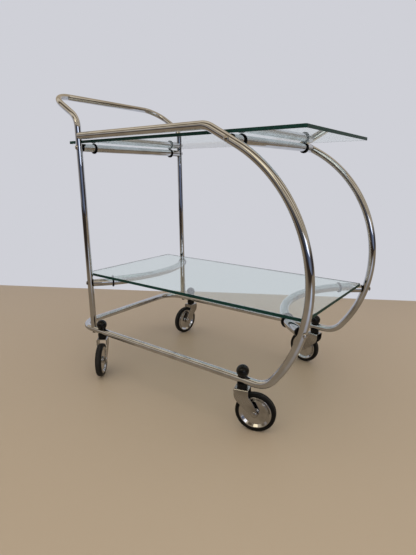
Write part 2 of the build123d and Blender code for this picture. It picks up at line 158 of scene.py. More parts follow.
# %% [markdown]
# ## From a mesh to a piece
# A piece of the trolley is one object with its finishes. It takes the place of the solids that it
# stands for and moves with the body that carries it. The same few lines serve all of them, so they
# are written once, and the custom normals keep the shading exact.

# %% Pieces


def piece(name, skins, finishes, body, nodes):
    """One object from skins in millimetres. It rides on a body and stands in for CAD nodes."""
    starts = np.cumsum([0] + [len(s["points"]) for s in skins])
    faces = [face for s, start in zip(skins, starts) for block in s["faces"]
             for face in (block + start).tolist()]
    mesh = bpy.data.meshes.new(name)
    mesh.from_pydata((np.vstack([s["points"] for s in skins]) / 1000).tolist(), [], faces)
    for finish in finishes:
        mesh.materials.append(finish)
    uv = mesh.uv_layers.new(name="UVMap")
    uv.data.foreach_set("uv", np.vstack([s["uv"] for s in skins]).astype(np.float32).ravel())
    part = np.minimum(np.concatenate([s["part"] for s in skins]), len(finishes) - 1)
    mesh.polygons.foreach_set("material_index", part.astype(np.int32))
    mesh.shade_smooth()
    mesh.normals_split_custom_set(np.vstack([s["normals"] for s in skins]).tolist())
    made = bpy.data.objects.new(name, mesh)
    bpy.context.scene.collection.objects.link(made)
    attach(made, body)
    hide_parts(*nodes)
    print(f"{name}: {len(faces)} faces")
    return made


print("pieces: piece")

# %% [markdown]
# ## Paths and turned forms
# A tube bender makes straight runs joined by circular bends, and a lathe turns a profile about an
# axis. A bevelled curve and a Screw modifier could make both. Both start from the same thing, a
# line with rounded corners, so here one function serves both, and every point stays exact.

# %% Rounded lines and tubes


def rounded(corners, radii, fine=4):
    """Points along straight runs joined by circular bends, about fine degrees apart.

    A bend of radius r starts r * tan(turn / 2) before its corner, and its points are
    start + r * (sin a * before + (1 - cos a) * inward) for angles a up to the turn.
    """
    corners = np.asarray(corners, float)
    ways = unit(np.diff(corners, axis=0))
    points = [corners[:1]]
    for corner, before, after, radius in zip(corners[1:-1], ways[:-1], ways[1:], radii):
        turn = np.arccos(np.clip(before @ after, -1, 1))
        inward = unit(after - before * np.cos(turn))
        start = corner - before * radius * np.tan(turn / 2)
        angle = np.linspace(0, turn, int(np.degrees(turn) / fine) + 3)[:, None]
        points.append(start + radius * (np.sin(angle) * before + (1 - np.cos(angle)) * inward))
    points.append(corners[-1:])
    return np.vstack(points)


def full_turn(around):
    """Angles of a whole turn in equal steps, without the one that repeats the first."""
    return np.linspace(0, 2 * np.pi, around, endpoint=False)


def tube_rows(points, radius, around=56):
    """Circles square to a path: point + radius * (cos a * e1 + sin a * e2)."""
    ways = unit(np.gradient(points, axis=0))
    lean = np.ones(3)
    e1 = unit(lean - (ways @ lean)[:, None] * ways)[:, None]
    e2 = np.cross(ways[:, None], e1)
    angle = full_turn(around)[:, None]
    return points[:, None] + radius * (np.cos(angle) * e1 + np.sin(angle) * e2)


print("paths: rounded, tube_rows")

# %% Turned forms


def turned_rows(profile, origin, axis, around=72):
    """A profile of (radius, height) points turned about an axis through an origin."""
    axis = unit(np.asarray(axis, float))
    e1 = unit(np.cross(axis, (0, 0, 1) if abs(axis[2]) < 0.9 else (1, 0, 0)))
    e2 = np.cross(axis, e1)
    angle = full_turn(around)[:, None]
    spoke = np.cos(angle) * e1 + np.sin(angle) * e2
    radius, height = profile[:, 0, None, None], profile[:, 1, None, None]
    return np.asarray(origin, float) + height * axis + radius * spoke


def knob(profile, origin, axis, around=72):
    """A turned solid whose profile starts and ends on its axis."""
    rows = turned_rows(np.asarray(profile, float), origin, axis, around)
    return skin(rows[1:-1], tips=(rows[0, 0], rows[-1, 0]), flat=False)


def hoop(profile, origin, axis, around=96):
    """A turned ring. Its closed profile keeps clear of the axis and ends on its first point."""
    return skin(turned_rows(profile[:-1], origin, axis, around), ring=True)


def dome(radius, low, high, steps=9):
    """Arc of a flat dome, from its rim (radius, low) to its crown (0, high).

    Radius of its sphere = (rim^2 + rise^2) / (2 * rise).
    """
    rise = high - low
    sphere = (radius**2 + rise**2) / (2 * rise)
    angle = np.linspace(asin(radius / sphere), 0, steps)
    return np.stack((sphere * np.sin(angle), high - sphere + sphere * np.cos(angle)), -1)


print("turned forms: knob, hoop, dome")

# %% [markdown]
# ## Coped ends
# Where one tube stands against another, its end is cut to the other's round, which fitters call a
# cope. A Boolean could cut it, but leaves ragged faces. Here each point of the end ring is drawn
# back and run up to the other tube by itself, so the end stays a clean ring.

# %% Coped ends
DRAW_BACK = 40


def meet(points, way, centre, axis, radius):
    """Distance along a direction from points to the near side of a round tube.

    Seen along the tube's axis, point + h * way is one radius from the centre: a quadratic in h.
    Past the sides of the tube the distance is infinite.
    """
    seen = np.eye(3) - np.outer(axis, axis)
    offset, way = (points - np.asarray(centre, float)) @ seen, np.asarray(way, float) @ seen
    middle = -(offset @ way) / (way @ way)
    room = middle**2 - ((offset**2).sum(-1) - radius**2) / (way @ way)
    return np.where(room > 0, middle - np.sqrt(np.maximum(room, 0)), np.inf)


def cope(row, way, centre, axis, radius):
    """The end row of a tube, drawn back and then run up to the round tube that it stands on."""
    way = np.asarray(way, float)
    start = row - DRAW_BACK * way
    return start + np.minimum(meet(start, way, centre, axis, radius), DRAW_BACK)[:, None] * way


print("coped ends drawn back", DRAW_BACK, "mm")

# %% [markdown]
# ## One way to add a shader node
# A finish is a small graph. Each kind of node could have a function of its own, but one that adds
# any node, sets its properties and sockets and makes its links is enough, and each finish below
# then reads as a list of what it consists of.

# %% Node helper and colours


def linear(code):
    """A hex sRGB colour as the linear colour that shaders use."""
    srgb = np.array([int(code[i:i + 2], 16) for i in (1, 3, 5)]) / 255
    light = np.where(srgb <= 0.04045, srgb / 12.92, ((srgb + 0.055) / 1.055) ** 2.4)
    return (*light.tolist(), 1.0)


def add(tree, kind, sockets=None, stops=None, **settings):
    """Add one node. A socket takes a value, or a pair (node, output) that is linked to it."""
    made = tree.nodes.new("ShaderNode" + kind)
    for name, value in settings.items():
        setattr(made, name, value)
    for place, (position, colour) in enumerate(stops or []):
        elements = made.color_ramp.elements
        stop = elements[place] if place < len(elements) else elements.new(position)
        stop.position, stop.color = position, linear(colour)
    for name, value in (sockets or {}).items():
        socket = {s.identifier: s for s in made.inputs}.get(name) or made.inputs[name]
        if isinstance(value, tuple) and isinstance(value[0], bpy.types.Node):
            outputs = {s.identifier: s for s in value[0].outputs}
            tree.links.new(outputs.get(value[1]) or value[0].outputs[value[1]], socket)
        else:
            socket.default_value = value
    return made


def new_finish(name):
    """An empty node material and its tree."""
    made = bpy.data.materials.new(name)
    made.use_nodes = True
    made.node_tree.nodes.clear()
    return made, made.node_tree


def every(millimetres):
    """Texture scale for a pattern whose marks are this far apart."""
    return 1000 / millimetres


print("white is", linear("#ffffff"))

# %% [markdown]
# ## Chrome
# The tubes are steel, polished and chrome plated: a clear mirror, slightly wavy from the polishing
# wheel, hazed here and there by hands and cleaning, with a few tiny pits. A plain metal shader
# would look too new, so haze goes into roughness, waves and pits into bump. Real pits are finer
# than this; they are drawn large enough to show.

# %% Chrome finish


def plated(name, bright, dull, smooth, hazy, wave, wear):
    """Chrome plate on steel: two tints, a range of roughness, and how strong waves and pits are."""
    made, tree = new_finish(name)
    place = add(tree, "TexCoord")
    haze = add(tree, "TexNoise", {"Vector": (place, "Object"), "Scale": every(38), "Detail": 4,
                                  "Roughness": 0.5})
    tint = add(tree, "ValToRGB", {"Fac": (haze, "Fac")}, stops=[(0.35, dull), (0.62, bright)])
    gloss = add(tree, "MapRange", {"Value": (haze, "Fac"), "From Min": 0.4, "From Max": 0.72,
                                   "To Min": smooth, "To Max": hazy})
    waves = add(tree, "TexNoise", {"Vector": (place, "Object"), "Scale": every(45), "Detail": 2})
    pits = add(tree, "TexVoronoi", {"Vector": (place, "Object"), "Scale": every(9)})
    pit = add(tree, "MapRange", {"Value": (pits, "Distance"), "From Min": 0.03, "From Max": 0.08})
    wavy = add(tree, "Bump", {"Height": (waves, "Fac"), "Strength": wave, "Distance": 0.001})
    pitted = add(tree, "Bump", {"Height": (pit, "Result"), "Strength": wear, "Distance": 0.0002,
                                "Normal": (wavy, "Normal")})
    shader = add(tree, "BsdfPrincipled", {"Base Color": (tint, "Color"), "Metallic": 1,
                                          "Roughness": (gloss, "Result"),
                                          "Normal": (pitted, "Normal")})
    add(tree, "OutputMaterial", {"Surface": (shader, "BSDF")})
    return made


chrome_tube = plated("chrome_plate_polished_tube", "#cbcdd1", "#bdbec0", 0.02, 0.06, 0.05, 0.03)
print("finish:", chrome_tube.name)

# %% [markdown]
# ## Side tubes
# Each side of the frame is one length of tube: along the top rail, down the bowed front, back along
# the base and round to the middle of the rear cross tube. Separate tubes and elbows could be joined
# up, but one path keeps the mirror unbroken through every bend. The end of the rail is coped to the
# upright.

# %% Side tubes
ARC_TANGENT = ARC_R * tan((radians(180) - UPPER_SLOPE - LOWER_SLOPE) / 2)
ARC_CORNER_X = ARC_TOP_X + ARC_TANGENT * cos(UPPER_SLOPE)
ARC_CORNER_Z = ARC_TOP_Z - ARC_TANGENT * sin(UPPER_SLOPE)
X_WAY, Z_WAY = np.array((1.0, 0.0, 0.0)), np.array((0.0, 0.0, 1.0))
UP_WAY = np.array((-sin(LEAN), 0.0, cos(LEAN)))
COPE_GAP = 0.05


def upright_x(height):
    """X of an upright's axis at a height: its foot, less the rise times the tangent of the lean."""
    return FOOT_X - (height - BASE_Z) * tan(LEAN)


for side, y in SIDE_Y.items():
    route = rounded([
        (upright_x(RAIL_Z) + HANDLE_R / 2, y, RAIL_Z),
        (RAIL_CORNER_X, y, RAIL_Z),
        (ARC_CORNER_X, y, ARC_CORNER_Z),
        (BASE_CORNER_X, y, BASE_Z),
        (REAR_X, y, BASE_Z),
        (REAR_X, MID_Y, BASE_Z),
    ], [BEND_R, ARC_R, BEND_R, BEND_R], 2)
    rows = tube_rows(route, FRAME_R)
    upright = (upright_x(RAIL_Z), y, RAIL_Z)
    rows[0] = cope(rows[0], -X_WAY, upright, UP_WAY, HANDLE_R + COPE_GAP)
    node = f"{side}_side_tube"
    piece(f"{side}_side", [skin(rows)], [chrome_tube], "frame", [node])

# %% [markdown]
# ## Handle
# The handle is bent from one slimmer tube: two uprights, two sloping legs and the grip. Half of it
# could be mirrored, but a seam would show in the middle of the grip, so it is one path too. Its
# feet are coped to the base rails.

# %% Handle
LEG_Z, GRIP_Z = RAIL_Z + 49, RAIL_Z + 122
LEG_BEND_R, GRIP_BEND_R = 48, 62
route = rounded([
    (FOOT_X, SIDE_Y["right"], BASE_Z),
    (upright_x(LEG_Z), SIDE_Y["right"], LEG_Z),
    (GRIP_X, SIDE_Y["right"], GRIP_Z),
    (GRIP_X, SIDE_Y["left"], GRIP_Z),
    (upright_x(LEG_Z), SIDE_Y["left"], LEG_Z),
    (FOOT_X, SIDE_Y["left"], BASE_Z),
], [LEG_BEND_R, GRIP_BEND_R, GRIP_BEND_R, LEG_BEND_R], 2)
rows = tube_rows(route, HANDLE_R)
for end, side in ((0, "right"), (-1, "left")):
    rail = (FOOT_X, SIDE_Y[side], BASE_Z)
    rows[end] = cope(rows[end], -UP_WAY, rail, X_WAY, FRAME_R + COPE_GAP)
piece("handle", [skin(rows)], [chrome_tube], "frame", ["handle_tube"])

# %% [markdown]
# ## Bars and bows
# Two straight bars carry the top glass and two bowed ones the lower glass. A bow could be drawn by
# eye as a curve, but a bender gives one circular arc from side to side, and its radius follows from
# its width and depth: r = (half^2 + depth^2) / (2 * depth).

# %% Places of the bars
TOP_GLASS_Z, LOWER_GLASS_Z = RAIL_Z - 18, BASE_Z + 164
RING_INNER_R, RING_R, RING_SAG = 11.95, 14.55, 0.85
GLASS_GAP, TUBE_GAP = 0.05, 0.1
TOP_BAR_Z = TOP_GLASS_Z - RING_R + RING_SAG - GLASS_GAP
BOW_Z = LOWER_GLASS_Z - RING_R + RING_SAG - GLASS_GAP
FLANGE_R, FLANGE, HEAD_R = BAR_R + 0.3, 1.2, 6.5
LOWER_LEAN = asin((BOW_Z - ARC_Z) / ARC_R)
UPPER_FRONT_X = RAIL_CORNER_X + (RAIL_Z - TOP_BAR_Z) / tan(UPPER_SLOPE)
LOWER_FRONT_X = ARC_X + ARC_R * cos(LOWER_LEAN)
print(f"bars at z {TOP_BAR_Z:.2f} and {BOW_Z:.2f} mm")

# %% Bars and bows
REAR_BOW, FRONT_BOW = 95, -122


class Bar:
    """A bar between two tubes at one X and of one radius, which lean from upright by an angle."""

    def __init__(self, tube_x, lean, tube_r, height, depth=0):
        self.tube_x, self.tube_r, self.height, self.depth = tube_x, tube_r, height, depth
        self.up = np.array((-sin(lean), 0, cos(lean)))
        self.radius = (HALF_WIDTH**2 + depth**2) / (2 * abs(depth)) if depth else 0
        tilt = asin(abs(self.at(HALF_WIDTH)[1][0] * sin(lean)))
        self.tube_half = tube_r / cos(tilt) + TUBE_GAP
        self.flange = FLANGE + FLANGE_R * tan(tilt)
        self.head_seat = self.flange + 2 * self.tube_half + HEAD_R * tan(tilt)
        reach = self.tube_half + self.flange
        self.end = HALF_WIDTH - reach
        if depth:
            self.end = self.radius * sin(asin(HALF_WIDTH / self.radius) - reach / self.radius)

    def at(self, offset):
        """Points on the axis and the way it runs towards +Y, at distances from the mid-plane."""
        offset = np.asarray(offset, float)
        level = np.zeros_like(offset)
        if not self.depth:
            point = np.stack((level + self.tube_x, MID_Y + offset, level + self.height), -1)
            return point, np.stack((level, level + 1, level), -1)
        turn, bend = np.arcsin(offset / self.radius), np.sign(self.depth)
        x = self.tube_x + self.depth + bend * self.radius * (np.cos(turn) - 1)
        point = np.stack((x, MID_Y + offset, level + self.height), -1)
        return point, np.stack((-bend * np.sin(turn), np.cos(turn), level), -1)


BARS = {
    "upper_rear_bar": Bar(upright_x(TOP_BAR_Z), LEAN, HANDLE_R, TOP_BAR_Z),
    "upper_front_bar": Bar(UPPER_FRONT_X, radians(90) - UPPER_SLOPE, FRAME_R, TOP_BAR_Z),
    "lower_rear_bow": Bar(upright_x(BOW_Z), LEAN, HANDLE_R, BOW_Z, REAR_BOW),
    "lower_front_bow": Bar(LOWER_FRONT_X, LOWER_LEAN, FRAME_R, BOW_Z, FRONT_BOW),
}
for name, bar in BARS.items():
    line, _ = bar.at(np.linspace(-bar.end, bar.end, 81))
    tube = skin(tube_rows(line, BAR_R))
    piece(name[:-4] + "_tube", [tube], [chrome_tube], "frame", [name])

# %% [markdown]
# ## Black mouldings
# The end plugs are moulded plastic with a satin skin, the rings that carry the glass are black
# rubber, duller and a little dusty, and the ball nuts are resin, polished in the mould. One flat
# black would do from far away. A slow change of tint and gloss, with a fine grain, keeps them from
# looking cut out. The grain is drawn coarser than a real one, so that it shows.

# %% Black finishes


def moulded(name, black, grey, smooth, rough, grain, bump, sheen):
    """Moulded black plastic or rubber: two tints, a range of roughness, a grain in millimetres and
    its depth, and how much light the skin throws back."""
    made, tree = new_finish(name)
    place = add(tree, "TexCoord")
    dust = add(tree, "TexNoise", {"Vector": (place, "Object"), "Scale": every(12), "Detail": 7,
                                  "Roughness": 0.65})
    tint = add(tree, "ValToRGB", {"Fac": (dust, "Fac")}, stops=[(0.42, black), (0.75, grey)])
    gloss = add(tree, "MapRange", {"Value": (dust, "Fac"), "From Min": 0.35, "From Max": 0.7,
                                   "To Min": smooth, "To Max": rough})
    fine = add(tree, "TexNoise", {"Vector": (place, "Object"), "Scale": every(grain), "Detail": 4})
    grained = add(tree, "Bump", {"Height": (fine, "Fac"), "Strength": bump, "Distance": 0.0003})
    shader = add(tree, "BsdfPrincipled", {"Base Color": (tint, "Color"),
                                          "Roughness": (gloss, "Result"),
                                          "Specular IOR Level": sheen,
                                          "Normal": (grained, "Normal")})
    add(tree, "OutputMaterial", {"Surface": (shader, "BSDF")})
    return made


black_plug = moulded("moulded_black_plastic_satin", "#080808", "#161514", 0.25, 0.4, 0.8, 0.15, 0.2)
black_rubber = moulded("moulded_black_rubber", "#080808", "#191817", 0.5, 0.7, 0.5, 0.15, 0.1)
black_ball = moulded("moulded_black_resin_polished", "#050505", "#0b0b0b", 0.05, 0.14, 3, 0.05, 0.3)
print("finishes:", black_plug.name, black_rubber.name, black_ball.name)

# %% [markdown]
# ## End plugs and rings
# Only the flange of a plug shows, as a thin line between its bar and the tube. Where the tube
# leans, the flange is thicker and cut to the round of the tube. Each ring is a turned band with
# soft outer edges. A Torus would be too round for it. The ring hangs a little low on its bar, and
# its soft rubber has settled there, so its hole follows the bar.

# %% Flanges and rings
RING_HALF, RING_INSET, SETTLED_R = 2.5, 52, BAR_R + 0.1
FLANGE_GAP = 0.3
RING_LINE = rounded([
    (RING_INNER_R, 0), (RING_INNER_R, -RING_HALF), (RING_R, -RING_HALF),
    (RING_R, RING_HALF), (RING_INNER_R, RING_HALF), (RING_INNER_R, 0),
], [0.3, 1.2, 1.2, 0.3], 12)[:-1]


def flange(bar, sign, y):
    """A turned disc on the end of a bar, with each point stopped where it meets the tube."""
    line = rounded([(0, 0), (FLANGE_R, 0), (FLANGE_R, bar.flange), (0, bar.flange)], [0.3, 0.4], 20)
    point, along = bar.at(sign * bar.end)
    way = sign * along
    foot = turned_rows(line, point, way) - line[:, 1, None, None] * way
    tube = (bar.tube_x, y, bar.height)
    room = meet(foot, way, tube, bar.up, bar.tube_r + FLANGE_GAP)
    rows = foot + np.minimum(line[:, 1, None], room)[..., None] * way
    return skin(rows[1:-1], tips=(rows[0, 0], rows[-1, 0]), flat=False)


def band(bar, sign):
    """A ring whose inner points are drawn in along their spokes until the hole follows the bar.

    Distance from the ring's middle to the bar = sag * up + sqrt(bar^2 - sag^2 * (1 - up^2)), where
    up is the rise of the spoke.
    """
    point, along = bar.at(sign * (HALF_WIDTH - RING_INSET))
    centre = point - RING_SAG * Z_WAY
    rows = turned_rows(RING_LINE, centre, along, 96)
    spoke = unit(rows - centre - ((rows - centre) @ along)[..., None] * along)
    up = spoke[..., 2]
    hole = RING_SAG * up + np.sqrt(SETTLED_R**2 - RING_SAG**2 * (1 - up**2))
    inner = (RING_R - RING_LINE[:, 0]) / (RING_R - RING_INNER_R)
    rows -= (inner[:, None] * (RING_INNER_R - hole))[..., None] * spoke
    return skin(rows, ring=True)


for name, bar in BARS.items():
    flanges = [flange(bar, -1, SIDE_Y["right"]), flange(bar, 1, SIDE_Y["left"])]
    piece(f"{name}_flanges", flanges, [black_plug], "frame", [f"{name}_plugs"])
    rings = [band(bar, -1), band(bar, 1)]
    piece(f"{name}_bands", rings, [black_rubber], "frame", [f"{name}_rings"])

# %% [markdown]
# ## Bolts
# Domed bolts hold the bars through the tubes, and one from below holds the foot of each upright. A
# squashed sphere would do for the head, but a real one has a short rim below a flat dome, so it is
# turned from that profile. Its plating is a little duller than the tube's.

# %% Bolts
chrome_fittings = plated("chrome_plate_bolt_head", "#bdbab6", "#a29e97", 0.12, 0.26, 0.05, 0.1)
SHANK_R, HEAD_RIM, HEAD_RISE, SHANK_END = 3, 1, 4, 10
BOLTED = {
    "upright_bolts": ("upper_rear_bar", "lower_rear_bow"),
    "arc_bolts": ("upper_front_bar", "lower_front_bow"),
}


def bolt(point, way, seat, tip):
    """A domed bolt along a direction: shank from tip to the seat, and the head outside the seat."""
    shank = rounded([
        (0, tip), (SHANK_R, tip), (SHANK_R, seat), (HEAD_R, seat), (HEAD_R, seat + HEAD_RIM + 0.6),
    ], [0.4, 0.05, 0.3], 20)
    head = dome(HEAD_R, seat + HEAD_RIM, seat + HEAD_RISE)
    return knob(np.vstack((shank[:-1], head)), point, way, 48)


for name, pair in BOLTED.items():
    heads = []
    for bar in (BARS[key] for key in pair):
        for sign in (-1, 1):
            point, along = bar.at(sign * bar.end)
            heads.append(bolt(point, sign * along, bar.head_seat, -SHANK_END))
    piece(f"{name}_domed", heads, [chrome_fittings], "frame", [name])

SEAT = FRAME_R / cos(LEAN) + HEAD_R * tan(LEAN) + TUBE_GAP
feet = [bolt((FOOT_X, y, BASE_Z), -UP_WAY, SEAT, -SEAT - SHANK_END) for y in SIDE_Y.values()]
name = "upright_foot_bolts"
piece(f"{name}_domed", feet, [chrome_fittings], "frame", [name])

# %% [markdown]
# ## Glass
# The shelves are float glass, 8 mm thick. Its faces are clear, with the faintest smears, and its
# ground edge looks dark green, because light that leaves there has come a long way through the
# glass. Coloured absorption could give that, but takes many bounces and many samples. So the faces
# and the edge get a finish each. The frost of the edge is drawn coarser than it is, so that it
# shows.

# %% Glass finishes
FLOAT_IOR = 1.52
clear_glass, tree = new_finish("float_glass_polished_face")
place = add(tree, "TexCoord")
smear = add(tree, "TexNoise", {"Vector": (place, "Object"), "Scale": every(120), "Detail": 5,
                               "Roughness": 0.6})
gloss = add(tree, "MapRange", {"Value": (smear, "Fac"), "From Min": 0.45, "From Max": 0.75,
                               "To Min": 0.0, "To Max": 0.02})
shader = add(tree, "BsdfPrincipled", {"Base Color": linear("#eef8f4"), "IOR": FLOAT_IOR,
                                      "Roughness": (gloss, "Result"), "Transmission Weight": 1})
add(tree, "OutputMaterial", {"Surface": (shader, "BSDF")})

ground_edge, tree = new_finish("float_glass_ground_edge")
place = add(tree, "TexCoord")
frost = add(tree, "TexNoise", {"Vector": (place, "Object"), "Scale": every(4), "Detail": 5})
tint = add(tree, "ValToRGB", {"Fac": (frost, "Fac")}, stops=[(0.3, "#062a25"), (0.75, "#0f433b")])
gloss = add(tree, "MapRange", {"Value": (frost, "Fac"), "To Min": 0.3, "To Max": 0.5})
grind = add(tree, "Bump", {"Height": (frost, "Fac"), "Strength": 0.15, "Distance": 0.0003})
shader = add(tree, "BsdfPrincipled", {"Base Color": (tint, "Color"), "IOR": FLOAT_IOR,
                                      "Roughness": (gloss, "Result"), "Specular IOR Level": 0.2,
                                      "Normal": (grind, "Normal")})
add(tree, "OutputMaterial", {"Surface": (shader, "BSDF")})
print("finishes:", clear_glass.name, ground_edge.name)

# %% [markdown]
# ## Shelves
# A shelf is a flat sheet with rounded corners, and the grinder has taken a small bevel off both
# edges. A cube with a Bevel modifier comes close. Here the outline is drawn in and lifted by one
# small edge profile, so that bevels are even and both faces stay exactly flat.

# %% Glass shelves
THICK, BEVEL, CORNER_R = 8, 0.6, 4
EDGE = rounded([
    (-2, 0), (-BEVEL, 0), (0, BEVEL), (0, THICK - BEVEL), (-BEVEL, THICK), (-2, THICK),
], [0.1, 0.2, 0.2, 0.1], 20)[1:-1]
INNER_HALF = HALF_WIDTH - FRAME_R
# Rear edge, front edge, half width and lower face of each shelf.
SHELVES = {
    "top_glass_shelf": (REAR_X - 12, HALF_LENGTH - 46, INNER_HALF - 11, TOP_GLASS_Z),
    "lower_glass_shelf": (REAR_X + 19, HALF_LENGTH - 27, INNER_HALF - 19.5, LOWER_GLASS_Z),
}


def plate(rear, front, half, low):
    """A plate with rounded corners.

    For each EDGE point (inset, height), a row of outline + inset * outward, at low + height.
    """
    middle = (rear + front) / 2
    outline = rounded([
        (middle, -half), (front, -half), (front, half),
        (rear, half), (rear, -half), (middle, -half),
    ], [CORNER_R] * 4, 8)[:-1]
    ahead = unit(np.roll(outline, -1, 0) - np.roll(outline, 1, 0))
    outward = np.stack((ahead[:, 1], -ahead[:, 0]), -1)
    flat = outline + EDGE[:, 0, None, None] * outward
    height = np.broadcast_to(low + EDGE[:, 1, None, None], flat.shape[:2] + (1,))
    rows = np.concatenate((flat + (0, MID_Y), height), -1)
    return skin(rows, tips=((middle, MID_Y, low), (middle, MID_Y, low + THICK)))


for name, place in SHELVES.items():
    glass = [ground_edge, clear_glass]
    shelf = piece(f"{name}_sheet", [plate(*place)], glass, "frame", [name])
    shelf.visible_shadow = False  # lamps shine through clear glass

# %% [markdown]
# ## Castor mountings
# A black ball nut clamps each castor to the base rail, with a saddle above the rail and a collar
# below it. A UV Sphere would do for the ball, but it stands on a flat foot, so it is turned. Saddle
# and collar are moulded to the round of the tube: a Boolean could cut that, but here the heights of
# the end rings simply follow the tube.

# %% Balls, saddles and collars
STEM_X = {"front": BASE_CORNER_X - 64, "rear": FOOT_X + 38.5}
SEAT_Z, BALL_R, BALL_RISE, BALL_FOOT = 142, 15.5, 10, 11
SADDLE_R, SADDLE_LIP = 12, 138
COLLAR_R, COLLAR_LIP, COLLAR_Z = 13, 122, 109.1
RAIL_FIT, SIDE_START = FRAME_R + 0.1, 11.5
lift = np.linspace(asin(-BALL_RISE / BALL_R), radians(90), 40)
ball = np.stack((BALL_R * np.cos(lift), SEAT_Z + BALL_RISE + BALL_R * np.sin(lift)), -1)
BALL_LINE = np.vstack(((0, SEAT_Z), (BALL_FOOT, SEAT_Z), ball))


def cushion(x, y, radius, flat, lip):
    """A turned seat with one flat end, whose other end follows the round of the base rail.

    Height of that end = rail height +- the larger of the lip's and
    sqrt(rail radius^2 - (r sin a)^2).
    """
    sign = np.sign(flat - BASE_Z)
    r = np.array([5, 7, 8, 8.6, 9.2, 9.8, 10.6, radius - 0.5, radius])[:, None]
    angle = full_turn(96)
    follow = np.sqrt(np.maximum(RAIL_FIT**2 - (r * np.sin(angle))**2, (lip - BASE_Z)**2))
    round_end = np.stack((r * np.cos(angle), r * np.sin(angle), sign * follow), -1)
    line = rounded([
        (radius, sign * SIDE_START), (radius, flat - BASE_Z), (0, flat - BASE_Z),
    ], [0.8], 20)[1:-1]
    r, height = line[:, :1], np.broadcast_to(line[:, 1:], (len(line), len(angle)))
    side = np.stack((r * np.cos(angle), r * np.sin(angle), height), -1)
    rows = np.vstack((round_end, side)) + (x, y, BASE_Z)
    tips = np.array(((x, y, BASE_Z + sign * RAIL_FIT), (x, y, flat)))
    if sign < 0:
        rows, tips = rows[::-1], tips[::-1]
    return skin(rows, tips=tips, flat=False)


for corner in TURNS:
    end, side = corner.split("_")
    x, y = STEM_X[end], SIDE_Y[side]
    nut = knob(BALL_LINE, (x, y, 0), Z_WAY)
    piece(f"{corner}_ball", [nut], [black_ball], "frame", [f"{corner}_ball_nut"])
    seats = {
        "saddle": cushion(x, y, SADDLE_R, SEAT_Z, SADDLE_LIP),
        "collar": cushion(x, y, COLLAR_R, COLLAR_Z, COLLAR_LIP),
    }
    for name, seat in seats.items():
        node = f"{corner}_{name}"
        piece(f"{node}_seat", [seat], [black_plug], "frame", [node])

# %% [markdown]
# ## Outline of a fork
# A fork is stamped from 2 mm sheet, so its outline comes first: a straight top, two swept edges and
# a round tip at the axle. The edges could be traced point by point, but a spline of five poles
# gives the smooth sweep of a drawn line from only a few numbers.

# %% Fork outline
SHEET, TOP_Z, LEG_V, TIP_R = 2, 109, 14.5, 9
TOP_HALF, SWEEP_Z = 18, 97


def spline(poles, knot):
    """A cubic spline of five poles with one inner knot, as two Bezier arcs in sixteen steps each.

    Bezier point = (1-t)^3 a + 3t(1-t)^2 b + 3t^2(1-t) c + t^3 d. The knot splits the middle spans.
    """
    p0, p1, p2, p3, p4 = np.asarray(poles, float)
    q, r = p1 + knot * (p2 - p1), p2 + knot * (p3 - p2)
    join = q + knot * (r - q)
    t = np.linspace(0, 1, 17)[:, None]
    arcs = [(1 - t)**3 * a + 3 * t * (1 - t)**2 * b + 3 * t**2 * (1 - t) * c + t**3 * d
            for a, b, c, d in ((p0, p1, q, join), (join, r, p3, p4))]
    return np.vstack((arcs[0], arcs[1][1:]))


trail_edge = spline([
    (TOP_HALF, SWEEP_Z), (TOP_HALF, 91.234), (29.217, 80.76), (35.722, 65.018), (41.794, 54.5),
], 0.26764)
lead_edge = spline([
    (29.098, 42.452), (17.521, 49.971), (1.703, 68.457), (-TOP_HALF, 82.124), (-TOP_HALF, SWEEP_Z),
], 0.5485)
turn = np.radians(30 - np.linspace(0, 153, 40))
tip_edge = np.stack((TRAIL + TIP_R * np.cos(turn), WHEEL_R + TIP_R * np.sin(turn)), -1)
foot = tip_edge[:, 1].argmin()
rear_side = np.vstack(((TOP_HALF, TOP_Z), trail_edge, tip_edge[1:foot + 1]))[::-1]
front_side = np.vstack((tip_edge[foot:], lead_edge[1:], (-TOP_HALF, TOP_Z)))
print("fork outline:", len(rear_side) + len(front_side), "points")

# %% [markdown]
# ## Forks
# The stamped sheet is bent over in a U, so that its legs sweep back to the axle. Solidify and a
# bend could do that to a flat mesh, but leave sharp edges. So the surface runs along the bent
# sheet: at each station lies a thin section with round edges, as wide as the outline is at that
# height. Bent sheet is polished less than tube, so its chrome is duller.

# %% Forks
chrome_fork = plated("chrome_plate_bent_sheet", "#b3b2b1", "#979594", 0.18, 0.3, 0.08, 0.15)
BEND_START, EDGE_ROUND = 103.5, 0.6


def fork_stations():
    """The middle line of the bent sheet (across, up): one leg, over the top, and the other leg.

    Near the tip the heights follow 1 - cos, close together where the outline turns fastest.
    """
    tip = WHEEL_R - TIP_R + 14 * (1 - np.cos(np.linspace(0.12, np.pi / 2, 22)))
    rise = np.concatenate((tip, np.linspace(56, SWEEP_Z, 30), [100, BEND_START]))
    leg = np.stack((np.full(len(rise), LEG_V), rise), -1)
    top = TOP_Z - SHEET / 2
    over = rounded([
        (LEG_V, BEND_START), (LEG_V, top), (-LEG_V, top), (-LEG_V, BEND_START),
    ], [3, 3], 12)[1:-1]
    return np.vstack((leg, over, leg[::-1] * (-1, 1)))


